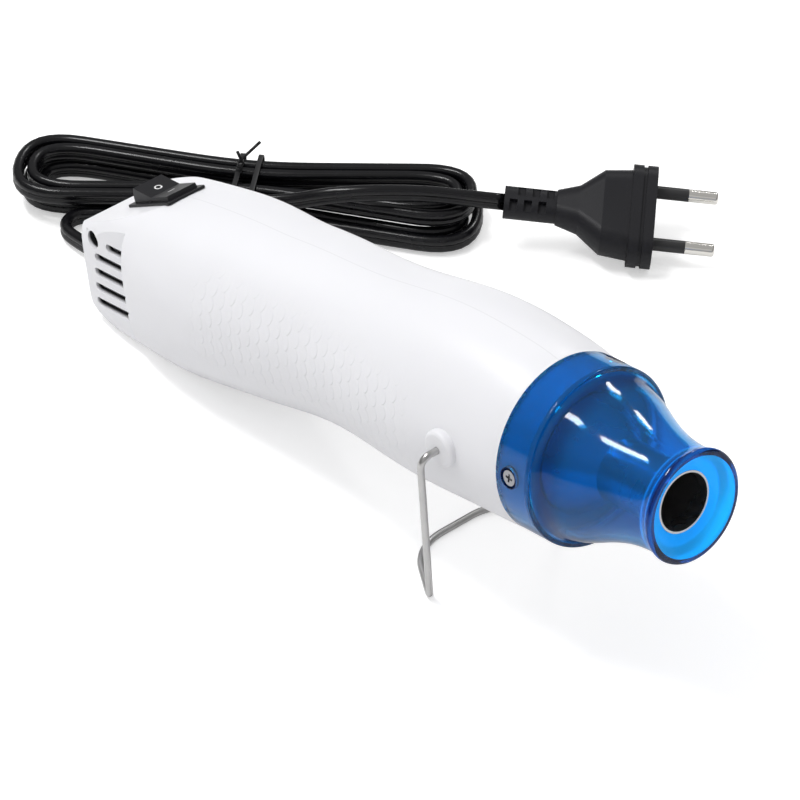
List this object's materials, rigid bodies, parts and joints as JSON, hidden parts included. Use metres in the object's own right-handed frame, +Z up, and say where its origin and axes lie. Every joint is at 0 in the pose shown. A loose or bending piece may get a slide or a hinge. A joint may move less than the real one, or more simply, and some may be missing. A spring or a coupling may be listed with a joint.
{
  "type": "embossing heat tool",
  "caption": "Hand-held embossing heat tool with a white two-part body, blue nozzle guard, folding wire stand, tail rocker switch and a tied flat cord with a two-pin plug.",
  "frame": {"origin": "middle of the tool's footprint on the surface it stands on, cord left out", "axes": "+X to the nozzle in plan, +Y to the tool's left, +Z up"},
  "size_m": [0.3123, 0.1896, 0.0868],
  "materials": {
    "white_shell": "satin moulded",
    "blue_guard": "clear polished",
    "screw_steel": "plated",
    "can_steel": "drawn",
    "insulator": "moulded",
    "mica": "flaky",
    "heater_wire": "oxidised",
    "brass": "plain",
    "copper": "enamelled",
    "black_nylon": "moulded",
    "white_nylon": "moulded",
    "ferrite": "sintered",
    "board": "phenolic",
    "film_red": "dipped",
    "switch_black": "moulded",
    "stand_wire": "bright drawn",
    "black_pvc": "moulded",
    "cord_pvc": "glossy",
    "tie": "satin",
    "plug_grey": "moulded",
    "pin_nickel": "nickel plated",
    "sleeve_black": "moulded",
    "lead_wire": "insulated"
  },
  "bodies": {
    "tool": {"right_shell": "white_shell", "left_shell": "white_shell", "nozzle_guard": "blue_guard", "guard_screws": "screw_steel", "nozzle_can": "can_steel", "front_ring": "insulator", "mica_cross": "mica", "heater_coil": "heater_wire", "mica_sleeve": "mica", "mica_disc": "mica", "thermostat": "brass", "thermal_fuse": "can_steel", "air_duct": "black_nylon", "motor_plate": "black_nylon", "motor_screws": "screw_steel", "motor_can": "can_steel", "motor_magnets": "ferrite", "motor_cap": "white_nylon", "motor_brushes": "brass", "motor_terminals": "brass", "rectifier_board": "board", "rectifier_diodes": "black_nylon", "capacitor": "film_red", "switch_body": "switch_black", "switch_tabs": "brass", "tail_screw": "screw_steel", "strain_relief": "black_pvc", "cord_lead": "cord_pvc", "cord_hank": "cord_pvc", "cord_plug_lead": "cord_pvc", "twist_tie": "tie", "plug_body": "plug_grey", "plug_pins": "pin_nickel", "plug_pin_sleeves": "sleeve_black", "inner_leads": "lead_wire"},
    "stand": {"wire_stand": "stand_wire"},
    "rocker": {"switch_rocker": "switch_black"},
    "rotor": {"motor_shaft": "screw_steel", "armature": "can_steel", "armature_winding": "copper", "commutator": "copper", "impeller": "black_nylon"}
  },
  "joints": [
    {"name": "stand_pivot", "type": "hinge", "parent": "tool", "child": "stand", "pos_m": [0.05819, 0, 0.05918], "axis": [0, -1, 0], "range_deg": [-30, 85]},
    {"name": "power_rocker", "type": "hinge", "parent": "tool", "child": "rocker", "pos_m": [-0.09533, 0, 0.04548], "axis": [0, -1, 0], "range_deg": [0, 22]},
    {"name": "fan_spin", "type": "hinge", "parent": "tool", "child": "rotor", "pos_m": [-0.02987, 0, 0.04179], "axis": [0.9877, 0, 0.1564], "continuous": true}
  ]
}
